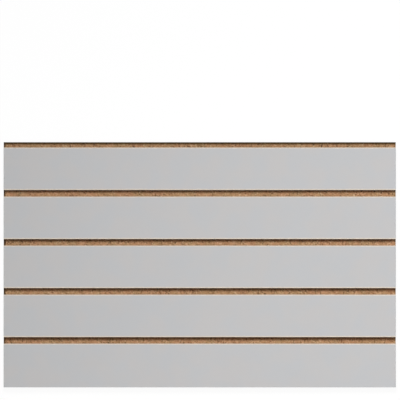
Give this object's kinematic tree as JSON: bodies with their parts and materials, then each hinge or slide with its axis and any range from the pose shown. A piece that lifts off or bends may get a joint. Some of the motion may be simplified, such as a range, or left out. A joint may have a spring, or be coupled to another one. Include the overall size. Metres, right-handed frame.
{
  "type": "slatwall panel",
  "caption": "Flat grey-faced display wall panel of wood board, with T slots along its length that take hooks and shelf brackets.",
  "frame": {"origin": "middle of the back face, on the floor that the panel lies on", "axes": "+X along the slots, +Y up the panel as it would hang, +Z out of the laminate face"},
  "size_m": [0.6096, 0.381, 0.0191],
  "materials": {
    "wood_board": "raw milled particle board, matte",
    "grey_laminate": "satin"
  },
  "bodies": {
    "root": {"grooved_core": "wood_board", "laminate_strip_1": "grey_laminate", "laminate_strip_2": "grey_laminate", "laminate_strip_3": "grey_laminate", "laminate_strip_4": "grey_laminate", "laminate_strip_5": "grey_laminate"}
  },
  "joints": []
}
